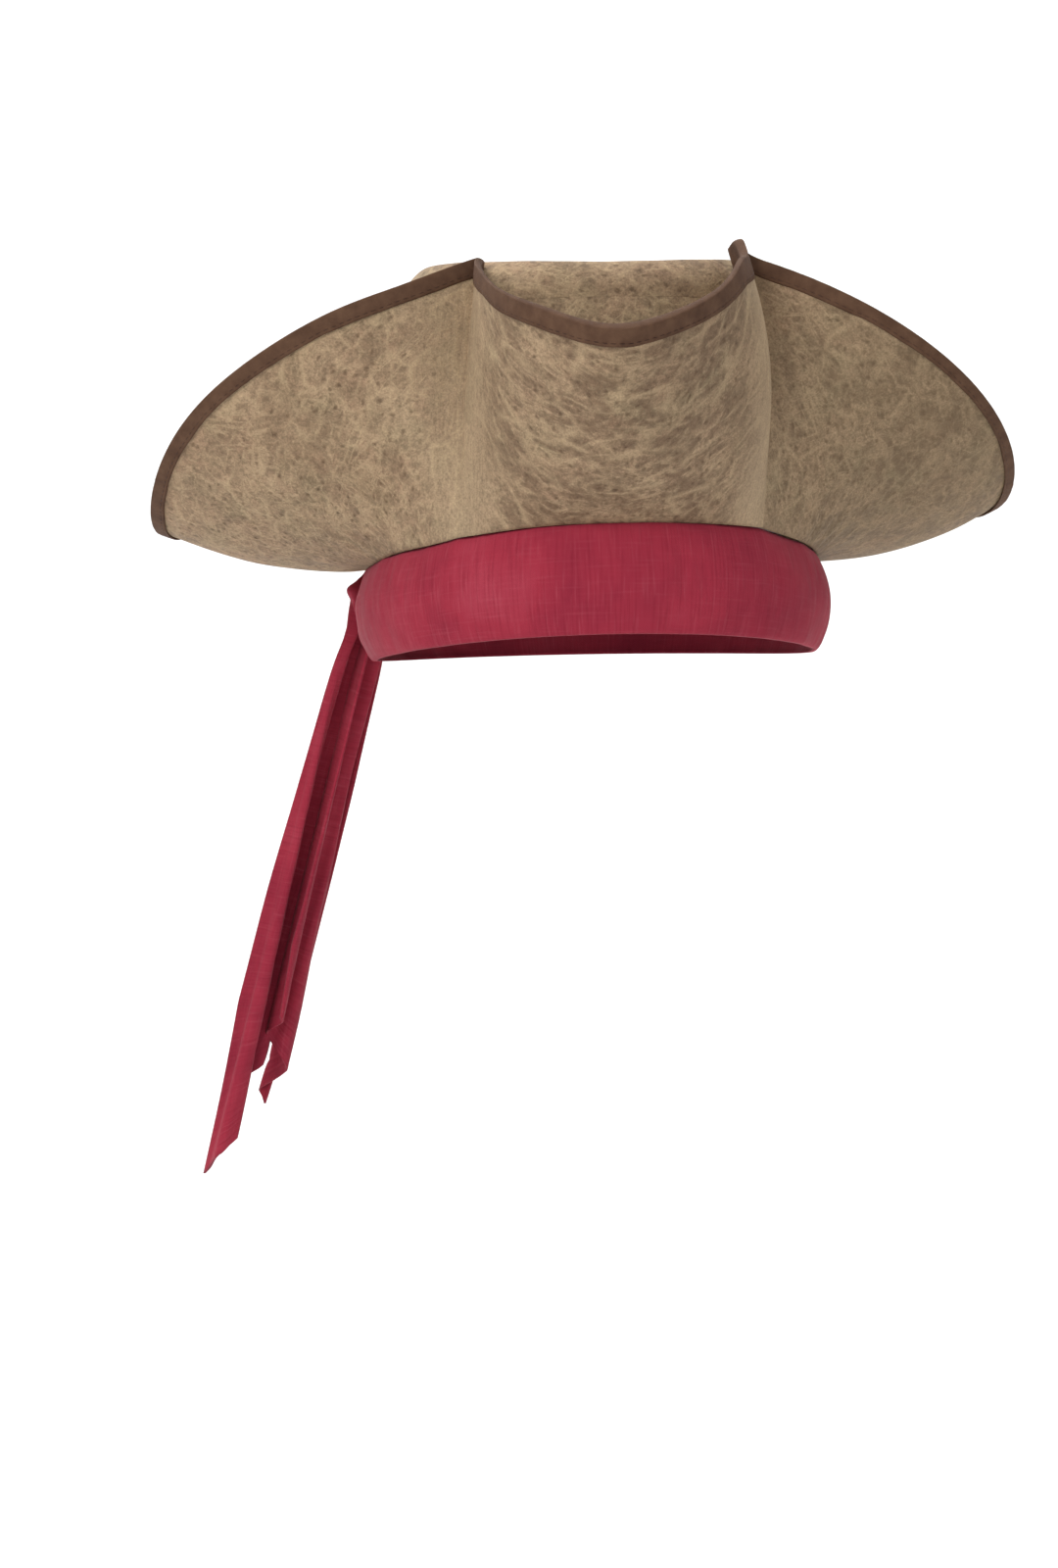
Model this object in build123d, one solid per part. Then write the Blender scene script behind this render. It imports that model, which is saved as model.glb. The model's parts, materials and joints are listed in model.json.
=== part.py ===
"""Pirate hat: a three-cornered hat of distressed leather cloth with a headscarf sewn in below it.

Millimetres, +Z up.  The front of the hat faces -Y and the wearer's left is +X.
The origin is the centre of the head opening, at the mean height of the seam between crown and brim.
Azimuth is measured in degrees from the front, positive toward +X.
"""
from build123d import *

import math
import os

# Head opening and the seam that joins crown, brim and headscarf
seam_half_width = 89.4        # along X, at the brim's inner face
seam_half_depth = 102.4       # along Y
seam_rise = 5.0               # the seam stands higher at front and back, lower at the sides

# Crown
crown_shoulder_height = 93.0  # seam between crown wall and crown tip
crown_top_height = 106.0
crown_shoulder_half_width = 77.0
crown_shoulder_half_depth = 89.5
crown_top_rounding = 11.0

# Cloth thicknesses
leather_cloth = 1.2
crown_foam = 1.2
lining_cloth = 0.5
brim_foam = 1.2
layer_gap = 0.2
seam_clearance = 0.2
foam_lift = 2.0               # foam and lining start this far above the seam
foam_margin = 4.0             # and stop this far below the crown's shoulder

# Brim: three spouts between three points where the brim is turned up and tacked to the crown
tack_azimuth = 37.0           # the two front tacks; the third is at the back
side_spout_azimuth = 106.0
front_brim_depth = 95.0
side_brim_depth = 91.5
tack_brim_depth = 98.5
peak_point = 9.5              # the brim edge is drawn up into a point at each tack
peak_point_spread = 0.16      # share of the way from a tack to a spout that the point takes
tack_slope = (91.0, 100.0)    # slope of the brim at its inner and outer edge, from level
front_spout_slope = (28.0, 62.0)
side_spout_slope = (-2.0, 24.0)
front_spout_roundness = 0.75
side_spout_roundness = 0.22
front_spout_gather = 0.85     # how far the brim's lines turn toward the middle of the spout
side_spout_gather = -0.28

# Binding on the brim edge
binding_width = 8.0
binding_cloth = 0.8
binding_clearance = 0.6

# Headscarf band, knot and tails
scarf_thickness = 2.2
scarf_gap = 0.8                # between the band's top edge and the brim above it
scarf_bottom_front = -42.0
scarf_bottom_side = -46.5
scarf_bulge = 5.0
scarf_bottom_half_width = 89.6
scarf_bottom_half_depth = 102.0
scarf_top_ease = 0.6           # the band's top edge stands this far off the seam
knot_azimuth = -126.0
knot_half_depth = 9.5
knot_half_width = 16.0
knot_half_height = 12.0
knot_height = -18.0
knot_clearance = 1.2           # between the knot and the band
tail_cloth = 1.2
tail_lean = 17.0              # the tails hang a little away from the head
front_tail_length = 245.0
back_tail_length = 215.0
tail_top_width = 15.0
tail_bottom_width = 46.0
tail_gap = 3.0
tail_clearance = 2.0           # between the knot and the tails below it
tail_full_width_at = 0.45      # share of the length where the tail is nearly at its full width
tail_corner_at = 0.80          # share of the length where its outer edge ends
tail_notch_at = 0.86           # and where its inner edge ends

# Sweatband, seam tapes, label and thread
sweatband_thickness = 0.8
sweatband_height = 32.0
seam_tape_height = 2.2
seam_tape_inset = 1.0
shoulder_tape_drop = (3.5, 0.2)   # bottom and top edge of the tape, below the crown's shoulder
sweatband_clearance = 0.3
tack_thread_diameter = 2.4
tack_height = 88.0
tack_margin = 0.45             # between the thread's ends and the cloth on either side
label_half_angle = 8.0
label_height = 20.0
label_thickness = 0.4

brim_step = 7.0               # mean spacing of the brim's sections round the hat
crown_step = 12.0
band_step = 9.0
label_step = 4.0
brim_thickness = 2 * leather_cloth + brim_foam + 2 * layer_gap
crown_wall_thickness = leather_cloth + crown_foam + lining_cloth + 2 * layer_gap
panel_stops = (-180.0, -tack_azimuth, tack_azimuth, 180.0)
half_stops = (-180.0, 0.0, 180.0)


def oval_radius(azimuth, half_width, half_depth):
    """Distance from the Z axis to an oval, in the direction of the azimuth."""
    angle = math.radians(azimuth)
    return 1.0 / math.hypot(math.sin(angle) / half_width, math.cos(angle) / half_depth)


def at(azimuth, radius, height):
    """Point at an azimuth, radius and height."""
    angle = math.radians(azimuth)
    return Vector(radius * math.sin(angle), -radius * math.cos(angle), height)


def seam_height(azimuth):
    return seam_rise * math.cos(math.radians(2 * azimuth))


# ---------------------------------------------------------------- ring shaped solids

def spread(start, end, step):
    """Azimuths from start to end, closer together toward both ends."""
    count = max(4, round((end - start) / step))
    shares = [(1 - math.cos(math.pi * i / count)) / 2 for i in range(count + 1)]
    return [start + (end - start) * share for share in shares]


def section_wire(sides):
    """Closed wire through the sides of a section; each side is a list of points."""
    edges = []
    for side in sides:
        if len(side) == 2:
            edges.append(Edge.make_line(side[0], side[1]))
        else:
            edges.append(Edge.make_spline(side))
    return Wire(edges)


def ring_solid(section, stops, step):
    """Solid swept round the hat through section(azimuth), smooth between the stops."""
    faces = []
    for start, end in zip(stops, stops[1:]):
        wires = [section_wire(section(azimuth)) for azimuth in spread(start, end, step)]
        faces += Shell.make_loft(wires).faces()
    return Solid(Shell(faces))


def straight_section(corners):
    """Sides of a section whose corners are joined by straight lines."""
    return [[corners[i], corners[(i + 1) % len(corners)]] for i in range(len(corners))]


# ---------------------------------------------------------------- brim

def spout_share(distance, roundness):
    """0 at the middle of a spout and 1 at a tack, rounded at the middle."""
    rounded = math.sqrt(distance ** 2 + roundness ** 2) - roundness
    return rounded / (math.sqrt(1 + roundness ** 2) - roundness)


def brim_line(azimuth):
    """Heading, slopes at the seam and the edge, and length of the brim's line at an azimuth."""
    turn = abs(azimuth)
    if turn <= tack_azimuth:
        distance = turn / tack_azimuth
        share = spout_share(distance, front_spout_roundness)
        slopes = front_spout_slope
        depth = front_brim_depth
        heading = turn - front_spout_gather * turn * (1 - share)
    else:
        span = side_spout_azimuth - tack_azimuth if turn < side_spout_azimuth else 180 - side_spout_azimuth
        distance = abs(side_spout_azimuth - turn) / span
        share = spout_share(distance, side_spout_roundness)
        slopes = side_spout_slope
        depth = side_brim_depth
        heading = turn + side_spout_gather * (side_spout_azimuth - turn) * (1 - share)
    start_slope, end_slope = (low + (high - low) * share for low, high in zip(slopes, tack_slope))
    point = math.exp((distance - 1) / peak_point_spread)
    length = depth + (tack_brim_depth - depth) * share + peak_point * point
    return math.copysign(heading, azimuth), start_slope, end_slope, length


def brim_point(azimuth, along, offset):
    """Point on the brim: along in mm from the seam, offset in mm out from the inner face."""
    heading, start_slope, end_slope, length = brim_line(azimuth)
    first = math.radians(start_slope)
    bend = math.radians(end_slope - start_slope) / length
    slope = first + bend * along
    reach = (math.sin(slope) - math.sin(first)) / bend + offset * math.sin(slope)
    rise = -(math.cos(slope) - math.cos(first)) / bend - offset * math.cos(slope)
    seam = at(azimuth, oval_radius(azimuth, seam_half_width, seam_half_depth), seam_height(azimuth))
    angle = math.radians(heading)
    return seam + Vector(reach * math.sin(angle), -reach * math.cos(angle), rise)


def brim_curve(azimuth, start, end, offset, count=6):
    return [brim_point(azimuth, start + (end - start) * i / count, offset) for i in range(count + 1)]


def brim_layer(inner_offset, thickness):
    """One layer of the brim, between two offsets from its inner face."""
    def section(azimuth):
        length = brim_line(azimuth)[3]
        inner = brim_curve(azimuth, 0, length, inner_offset)
        outer = brim_curve(azimuth, length, 0, inner_offset + thickness)
        return [inner, [inner[-1], outer[0]], outer, [outer[-1], inner[0]]]
    return ring_solid(section, panel_stops, brim_step)


def brim_top_layer():
    return brim_layer(0, leather_cloth)


def brim_stiffener():
    return brim_layer(leather_cloth + layer_gap, brim_foam)


def brim_under_layer():
    return brim_layer(leather_cloth + 2 * layer_gap + brim_foam, leather_cloth)


def brim_binding():
    """Tape folded over the edge of the three brim layers, with a rounded nose."""
    near = -binding_clearance
    far = brim_thickness + binding_clearance
    nose_depth = (far - near) / 2 + binding_cloth

    def section(azimuth):
        length = brim_line(azimuth)[3]
        hem = length - binding_width
        fold = length + binding_clearance
        middle = (near + far) / 2
        nose = []
        for i in range(9):
            angle = math.pi * i / 8
            along = fold + binding_cloth * math.sin(angle)
            nose.append(brim_point(azimuth, along, middle - nose_depth * math.cos(angle)))
        top = brim_curve(azimuth, hem, fold, near - binding_cloth, 3)
        under = brim_curve(azimuth, fold, hem, far + binding_cloth, 3)
        under_inside = brim_curve(azimuth, hem, fold, far, 3)
        top_inside = brim_curve(azimuth, fold, hem, near, 3)
        return [top, nose, under, [under[-1], under_inside[0]], under_inside,
                [under_inside[-1], top_inside[0]], top_inside, [top_inside[-1], top[0]]]
    return ring_solid(section, panel_stops, brim_step)


# ---------------------------------------------------------------- crown

def crown_radius(azimuth, height, inset):
    """Distance from the Z axis to the crown wall, inset from its outer face."""
    share = height / crown_shoulder_height
    half_width = seam_half_width - seam_clearance
    half_depth = seam_half_depth - seam_clearance
    half_width += (crown_shoulder_half_width - half_width) * share
    half_depth += (crown_shoulder_half_depth - half_depth) * share
    return oval_radius(azimuth, half_width - inset, half_depth - inset)


def lining_section(azimuth, bottom, top, inset, thickness):
    """Section of a strip that lies against the lining, inset from the crown's outer face."""
    corners = []
    for height, depth in ((bottom, inset), (top, inset), (top, inset + thickness),
                          (bottom, inset + thickness)):
        corners.append(at(azimuth, crown_radius(azimuth, height, depth), height))
    return straight_section(corners)


def crown_wall_layer(inset, thickness, bottom_lift, top):
    """One layer of the crown wall, from the seam up to a level top edge."""
    def section(azimuth):
        return lining_section(azimuth, seam_height(azimuth) + bottom_lift, top, inset, thickness)
    return ring_solid(section, half_stops, crown_step)


def crown_cap(inset, thickness, drop):
    """Domed oval cap: an outer form with the same form, one thickness smaller, taken out."""
    height = crown_top_height - crown_shoulder_height - drop

    def form(extra, depth, shift):
        outline = Ellipse(crown_shoulder_half_width - inset - extra,
                          crown_shoulder_half_depth - inset - extra)
        block = extrude(outline, amount=height + depth)
        rounding = crown_top_rounding - inset - extra
        block = fillet(block.edges().sort_by(Axis.Z)[-1], rounding)
        return Pos(0, 0, crown_shoulder_height + seam_clearance - shift) * block
    cap = form(0, -inset, 0) - form(thickness, 1 - inset - thickness, 1)
    return cap.solid()


def crown_wall():
    return crown_wall_layer(0, leather_cloth, seam_clearance, crown_shoulder_height)


def crown_wall_foam():
    return crown_wall_layer(leather_cloth + layer_gap, crown_foam, foam_lift,
                            crown_shoulder_height - foam_margin)


def crown_wall_lining():
    return crown_wall_layer(leather_cloth + 2 * layer_gap + crown_foam, lining_cloth, foam_lift,
                            crown_shoulder_height - foam_margin)


def crown_tip():
    return crown_cap(0, leather_cloth, 0)


def crown_tip_foam():
    return crown_cap(leather_cloth + layer_gap, crown_foam, 0)


def crown_tip_lining():
    return crown_cap(leather_cloth + 2 * layer_gap + crown_foam, lining_cloth, 0)


def crown_seam_tape():
    """Tape over the seam allowances inside, where the crown wall meets the tip."""
    bottom, top = (crown_shoulder_height - drop for drop in shoulder_tape_drop)

    def section(azimuth):
        return lining_section(azimuth, bottom, top, leather_cloth + layer_gap, crown_foam + lining_cloth)
    return ring_solid(section, half_stops, crown_step)


# ---------------------------------------------------------------- head opening

def sweatband():
    def section(azimuth):
        bottom = seam_height(azimuth) - seam_tape_height
        return lining_section(azimuth, bottom, bottom + sweatband_height,
                              crown_wall_thickness + sweatband_clearance, sweatband_thickness)
    return ring_solid(section, half_stops, crown_step)


def head_seam_tape():
    """Tape round the seam allowances of crown and brim, between sweatband and seam."""
    def section(azimuth):
        top = seam_height(azimuth)
        return lining_section(azimuth, top - seam_tape_height, top, seam_tape_inset,
                              crown_wall_thickness - seam_tape_inset)
    return ring_solid(section, half_stops, crown_step)


def care_label():
    """Blank woven label sewn in at the back of the sweatband."""
    inset = crown_wall_thickness + 2 * sweatband_clearance + sweatband_thickness
    bottom = seam_height(180.0)
    wires = []
    for azimuth in spread(180 - label_half_angle, 180 + label_half_angle, label_step):
        sides = lining_section(azimuth, bottom, bottom + label_height, inset, label_thickness)
        wires.append(section_wire(sides))
    return Solid.make_loft(wires)


# ---------------------------------------------------------------- tacks

def tack_thread(azimuth):
    """Thread shank that spans the gap between the crown wall and the turned-up brim."""
    crown_face = crown_radius(azimuth, tack_height, 0)
    low = 0.0
    high = brim_line(azimuth)[3]
    for _ in range(40):
        middle = (low + high) / 2
        if brim_point(azimuth, middle, 0).Z < tack_height:
            low = middle
        else:
            high = middle
    brim_face = math.hypot(brim_point(azimuth, low, 0).X, brim_point(azimuth, low, 0).Y)
    start = at(azimuth, crown_face + tack_margin, tack_height)
    length = brim_face - crown_face - 2 * tack_margin
    return Solid.make_cylinder(tack_thread_diameter / 2, length, Plane(start, z_dir=at(azimuth, 1, 0)))


# ---------------------------------------------------------------- headscarf

def scarf_top(azimuth):
    """Height of the band's top edge, just under the brim."""
    start_slope = math.radians(brim_line(azimuth)[1])
    return seam_height(azimuth) - max(0.0, brim_thickness * math.cos(start_slope)) - scarf_gap


def scarf_bottom(azimuth):
    share = math.cos(math.radians(azimuth)) ** 2
    return scarf_bottom_side + (scarf_bottom_front - scarf_bottom_side) * share


def scarf_outer(azimuth, share):
    """Distance from the Z axis to the band's outer face; share runs from top to bottom."""
    top = oval_radius(azimuth, seam_half_width, seam_half_depth) + scarf_thickness + scarf_top_ease
    bottom = oval_radius(azimuth, scarf_bottom_half_width, scarf_bottom_half_depth) + scarf_thickness
    return top + (bottom - top) * share + scarf_bulge * math.sin(math.pi * share)


def bandana_band():
    """Scarf folded into a band round the head, fuller in the middle of its height."""
    steps = 6

    def face(azimuth, inset):
        top = scarf_top(azimuth)
        bottom = scarf_bottom(azimuth)
        points = []
        for i in range(steps + 1):
            share = i / steps
            points.append(at(azimuth, scarf_outer(azimuth, share) - inset, top + (bottom - top) * share))
        return points

    def section(azimuth):
        outer = face(azimuth, 0)
        inner = face(azimuth, scarf_thickness)[::-1]
        return [outer, [outer[-1], inner[0]], inner, [inner[-1], outer[0]]]
    return ring_solid(section, half_stops, band_step)


def knot_frame():
    """Centre of the knot, its outward direction and its direction along the band."""
    share = (scarf_top(knot_azimuth) - knot_height) / (scarf_top(knot_azimuth) - scarf_bottom(knot_azimuth))
    radius = scarf_outer(knot_azimuth, share) + knot_half_depth + knot_clearance
    outward = at(knot_azimuth, 1, 0)
    along = Vector(0, 0, 1).cross(outward)
    return at(knot_azimuth, radius, knot_height), outward, along


def bandana_knot():
    """Knot of the scarf: a flattened ball against the band."""
    centre, outward, along = knot_frame()
    ball = Solid.make_sphere(1.0, angle1=-90, angle2=90)
    scaled = scale(ball, by=(knot_half_depth, knot_half_width, knot_half_height))
    return Location(Plane(centre, x_dir=outward, z_dir=(0, 0, 1))) * scaled.solid()


def scarf_tail(side, length):
    """Loose end of the scarf: gathered at the knot, wider below, with a slanting end.

    side is +1 for the tail nearer the front, -1 for the one behind it.
    """
    centre, outward, along = knot_frame()
    top = centre - Vector(0, 0, knot_half_height + tail_clearance)
    lean = math.radians(tail_lean)
    down = outward * math.sin(lean) + Vector(0, 0, -math.cos(lean))
    front = along * side if along.Y < 0 else along * -side
    plane = Plane(top, x_dir=front, z_dir=front.cross(down))
    inner = tail_gap / 2
    outline = Polyline(
        (inner, 0),
        (inner + tail_top_width, 0),
        (inner + 0.8 * tail_bottom_width, length * tail_full_width_at),
        (inner + tail_bottom_width, length * tail_corner_at),
        (inner + 0.25 * tail_bottom_width, length),
        (inner, length * tail_notch_at),
        close=True)
    face = make_face(outline)
    return Location(plane) * extrude(face, amount=tail_cloth, both=False).solid()


def bandana_tail_front():
    return scarf_tail(1, front_tail_length)


def bandana_tail_back():
    return scarf_tail(-1, back_tail_length)


def hat_pieces():
    return {
        "crown_tip": crown_tip(),
        "crown_tip_foam": crown_tip_foam(),
        "crown_tip_lining": crown_tip_lining(),
        "crown_wall": crown_wall(),
        "crown_wall_foam": crown_wall_foam(),
        "crown_wall_lining": crown_wall_lining(),
        "crown_seam_tape": crown_seam_tape(),
        "brim_top_layer": brim_top_layer(),
        "brim_stiffener": brim_stiffener(),
        "brim_under_layer": brim_under_layer(),
        "brim_binding": brim_binding(),
        "brim_tack_left": tack_thread(tack_azimuth),
        "brim_tack_right": tack_thread(-tack_azimuth),
        "brim_tack_back": tack_thread(180.0),
        "sweatband": sweatband(),
        "head_seam_tape": head_seam_tape(),
        "care_label": care_label(),
        "bandana_band": bandana_band(),
        "bandana_knot": bandana_knot(),
        "bandana_tail_front": bandana_tail_front(),
        "bandana_tail_back": bandana_tail_back(),
    }


os.makedirs("parts", exist_ok=True)
for name, shape in hat_pieces().items():
    shape.label = name
    export_step(shape, "parts/" + name + ".step")
    print(name, round(shape.volume, 1), shape.is_valid)
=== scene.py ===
"""Pirate hat: a bound and cocked three-cornered hat of distressed leather cloth, with a crimson headscarf.

Metres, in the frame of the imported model: the front faces -Y, +Z is up and the origin is the head opening.
Azimuth is in degrees from the front, positive toward +X.
"""

import json
import math

import bmesh
import bpy
import numpy as np
from mathutils import Matrix, Vector


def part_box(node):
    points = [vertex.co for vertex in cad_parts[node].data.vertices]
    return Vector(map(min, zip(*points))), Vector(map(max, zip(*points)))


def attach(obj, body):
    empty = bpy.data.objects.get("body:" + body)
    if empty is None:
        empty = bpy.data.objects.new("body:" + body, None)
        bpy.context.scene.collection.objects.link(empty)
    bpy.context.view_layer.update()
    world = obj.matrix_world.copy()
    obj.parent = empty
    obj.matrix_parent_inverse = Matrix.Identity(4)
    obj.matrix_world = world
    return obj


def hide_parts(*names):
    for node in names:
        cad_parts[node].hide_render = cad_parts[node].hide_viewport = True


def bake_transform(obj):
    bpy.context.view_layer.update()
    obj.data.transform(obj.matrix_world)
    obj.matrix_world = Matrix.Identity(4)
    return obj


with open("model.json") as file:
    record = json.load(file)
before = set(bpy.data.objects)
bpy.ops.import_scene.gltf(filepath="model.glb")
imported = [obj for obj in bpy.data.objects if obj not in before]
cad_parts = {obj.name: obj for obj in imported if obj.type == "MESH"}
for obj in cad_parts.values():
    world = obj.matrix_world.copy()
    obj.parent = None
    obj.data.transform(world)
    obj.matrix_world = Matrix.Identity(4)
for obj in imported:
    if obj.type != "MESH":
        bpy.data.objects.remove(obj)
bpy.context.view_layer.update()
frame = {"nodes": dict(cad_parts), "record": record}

# ---------------------------------------------------------------- sizes

MM = 0.001
crown_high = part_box("crown_wall")[1]
tip_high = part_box("crown_tip")[1]
knot_low, knot_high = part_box("bandana_knot")

seam_half_width = 89.4 * MM
seam_half_depth = 102.4 * MM
seam_rise = 5.0 * MM
seam_clearance = 0.2 * MM     # between the crown's wall and the brim's seam
shoulder_height = crown_high.z
crown_top = tip_high.z
shoulder_half_width = tip_high.x
shoulder_half_depth = tip_high.y

wrinkle_span = 90.0 * MM      # the wrinkles' pattern is laid out over this much of the brim

# Layers, from the outside of the crown inward, and from the crown side of the brim to its other face
leather_thickness = 1.2 * MM
felt_thickness = 1.2 * MM
lining_thickness = 0.5 * MM
ribbon_thickness = 0.8 * MM
layer_gap = 0.2 * MM
felt_inset = leather_thickness + layer_gap
lining_inset = felt_inset + felt_thickness + layer_gap
sweatband_inset = 3.6 * MM
sweatband_height = 32.0 * MM
brim_thickness = 4.0 * MM

crown_squareness = 0.045      # how much the crown fills out at its four corners
shoulder_rounding = 11.0 * MM
cap_overlap = 1.2 * MM        # how far the crown's tip reaches down over its wall
wall_overlap = 0.2 * MM       # how far the wall reaches up inside the tip
edge_row = 0.12 * MM          # short first row of a turned edge, which keeps its shading even

tack_azimuth = 37.0
side_spout_azimuth = 106.0
front_brim_depth = 95.0 * MM
side_brim_depth = 91.5 * MM
tack_brim_depth = 98.5 * MM
peak_point = 9.5 * MM
peak_point_spread = 0.16
tack_slope = (91.0, 100.0)
front_spout_slope = (28.0, 62.0)
side_spout_slope = (-2.0, 24.0)
front_spout_roundness = 0.75
side_spout_roundness = 0.22
front_spout_gather = 0.85
side_spout_gather = -0.28

binding_width = 8.0 * MM
binding_cloth = 0.8 * MM
binding_clearance = 0.3 * MM
stitch_inset = 1.4 * MM       # from the tape's hem to its stitches
stitch_spacing = 3.4 * MM
stitch_length = 2.5 * MM
stitch_radius = 0.17 * MM

scarf_thickness = 2.2 * MM
scarf_top_ease = 0.6 * MM
scarf_fullness = 5.0 * MM
scarf_bottom_half_width = 89.6 * MM
scarf_bottom_half_depth = 102.0 * MM
scarf_bottom = -46.5 * MM     # at the sides; the bottom edge arches up at the front and back
scarf_arch = 4.5 * MM

knot_azimuth = -126.0
knot_radii = (7.8 * MM, 15.0 * MM, 11.5 * MM)   # outward, along the band and up
knot_inset = 3.0 * MM         # the visual knot is this much closer to the band than the plain one
tail_lean = 18.0
tail_length = {"front": 0.252, "back": 0.222}
tail_root_width = 0.010
tail_foot_width = 0.046
tail_thickness = 0.9 * MM
tail_bend = 0.013             # length over which a tail comes out of the knot and turns down
tail_root_rise = 0.016        # how far above the hinge it begins, inside the knot


# ---------------------------------------------------------------- smooth seeded noise

LATTICE = np.random.default_rng(17).random((32, 32, 32)) * 2 - 1


def noise(x, y, z=0.0):
    """Smooth noise from -1 to 1 at arrays of positions, one cell of the lattice per unit."""
    x, y, z = np.broadcast_arrays(x, y, z)
    floors = [np.floor(value).astype(int) for value in (x, y, z)]
    blends = []
    for value, floor in zip((x, y, z), floors):
        share = value - floor
        blends.append(share * share * (3 - 2 * share))
    total = np.zeros(x.shape)
    for corner in np.ndindex(2, 2, 2):
        weight = np.ones(x.shape)
        for step, blend in zip(corner, blends):
            weight = weight * (blend if step else 1 - blend)
        total += weight * LATTICE[tuple((floor + step) % 32 for floor, step in zip(floors, corner))]
    return total


def bump(value, centre, width):
    """A smooth hill: 1 at the centre, falling to 0 away from it."""
    return np.exp(-((value - centre) / width) ** 2)


# ---------------------------------------------------------------- the hat's surfaces

def oval_radius(azimuth, half_width, half_depth):
    angle = np.radians(azimuth)
    return 1.0 / np.hypot(np.sin(angle) / half_width, np.cos(angle) / half_depth)


def at(azimuth, radius, height):
    """Points at azimuths, radii and heights, as an array with x, y, z last."""
    azimuth, radius, height = np.broadcast_arrays(azimuth, radius, height)
    angle = np.radians(azimuth)
    return np.stack([radius * np.sin(angle), -radius * np.cos(angle), height], axis=-1)


def seam_height(azimuth):
    return seam_rise * np.cos(np.radians(2 * np.asarray(azimuth)))


def spout_share(distance, roundness):
    rounded = np.sqrt(distance ** 2 + roundness ** 2) - roundness
    return rounded / (math.sqrt(1 + roundness ** 2) - roundness)


def brim_line(azimuth):
    """Heading, slopes at seam and edge (degrees) and length of the brim's line at each azimuth."""
    azimuth = np.asarray(azimuth, float)
    turn = np.abs(azimuth)
    front = turn <= tack_azimuth
    span = np.where(turn < side_spout_azimuth, side_spout_azimuth - tack_azimuth, 180 - side_spout_azimuth)
    distance = np.where(front, turn / tack_azimuth, np.abs(side_spout_azimuth - turn) / span)
    front_share = spout_share(distance, front_spout_roundness)
    side_share = spout_share(distance, side_spout_roundness)
    share = np.where(front, front_share, side_share)
    start = np.where(front, front_spout_slope[0], side_spout_slope[0])
    end = np.where(front, front_spout_slope[1], side_spout_slope[1])
    depth = np.where(front, front_brim_depth, side_brim_depth)
    start = start + (tack_slope[0] - start) * share
    end = end + (tack_slope[1] - end) * share
    gathered = turn - front_spout_gather * turn * (1 - share)
    fanned = turn + side_spout_gather * (side_spout_azimuth - turn) * (1 - share)
    heading = np.where(front, gathered, fanned) * np.sign(azimuth)
    point = peak_point * np.exp((distance - 1) / peak_point_spread)
    length = depth + (tack_brim_depth - depth) * share + point
    return heading, start, end, length


def seam_sag(azimuth):
    """How far the brim and the scarf's top edge droop below an even seam, mostly beside the front tacks."""
    return (3.4 * bump(azimuth, -40, 17) + 1.6 * bump(azimuth, 42, 15)) * MM


def hand_shaping(azimuth, share):
    """How far handling has bent the brim from its even form; share is 0 at the seam and 1 at the edge."""
    near_seam = np.sqrt(share)
    halfway = 4 * share * (1 - share)
    outer = share ** 2
    corner = share ** 3
    # the dip of the front edge
    dip = bump(azimuth, 0, 15) * share
    across = -4.0 * dip
    up = 1.8 * dip
    # the front panel's two sides, which lean and bulge differently
    across += 3.3 * bump(azimuth, -tack_azimuth, 9) * share + 0.6 * bump(azimuth, tack_azimuth, 9) * share
    across += 4.5 * bump(azimuth, -30, 7) * near_seam + 7.0 * bump(azimuth, 30, 9) * halfway
    across -= 3.5 * bump(azimuth, 29, 6) * corner
    up += 4.5 * bump(azimuth, 27, 6) * corner - 2.2 * bump(azimuth, -23, 8) * share
    # the small horn that the binding makes at the left tack
    horn = bump(azimuth, 35.0, 2.4) * share ** 4
    across -= 1.5 * horn
    up += 6.5 * horn
    # the two wings
    across -= 4.0 * bump(azimuth, 100, 26) * outer + 1.2 * bump(azimuth, -70, 16) * outer
    up += 4.5 * bump(azimuth, 112, 22) * outer - 2.3 * bump(azimuth, 64, 22) * outer
    up += 3.5 * bump(azimuth, -82, 15) * outer - 2.2 * bump(azimuth, -46, 8) * outer
    backward = -5.0 * bump(azimuth, -46, 7) * near_seam * (1 - 0.6 * share)
    # the droop along the seam, which fades out up the brim
    up -= seam_sag(azimuth) / MM * np.exp(-share / 0.22)
    return np.stack([across, backward, up], axis=-1) * MM


def brim_point(azimuth, along, offset):
    """Points on the brim: along from the seam, offset out from the inner face, both in metres."""
    azimuth, along, offset = np.broadcast_arrays(azimuth, along, offset)
    heading, start, end, length = brim_line(azimuth)
    first = np.radians(start)
    bend = np.radians(end - start) / length
    slope = first + bend * along
    reach = (np.sin(slope) - np.sin(first)) / bend + offset * np.sin(slope)
    rise = (np.cos(first) - np.cos(slope)) / bend - offset * np.cos(slope)
    seam = at(azimuth, oval_radius(azimuth, seam_half_width, seam_half_depth), seam_height(azimuth))
    angle = np.radians(heading)
    even = seam + np.stack([reach * np.sin(angle), -reach * np.cos(angle), rise], axis=-1)
    return even + hand_shaping(azimuth, np.clip(along / length, 0, 1))


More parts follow.
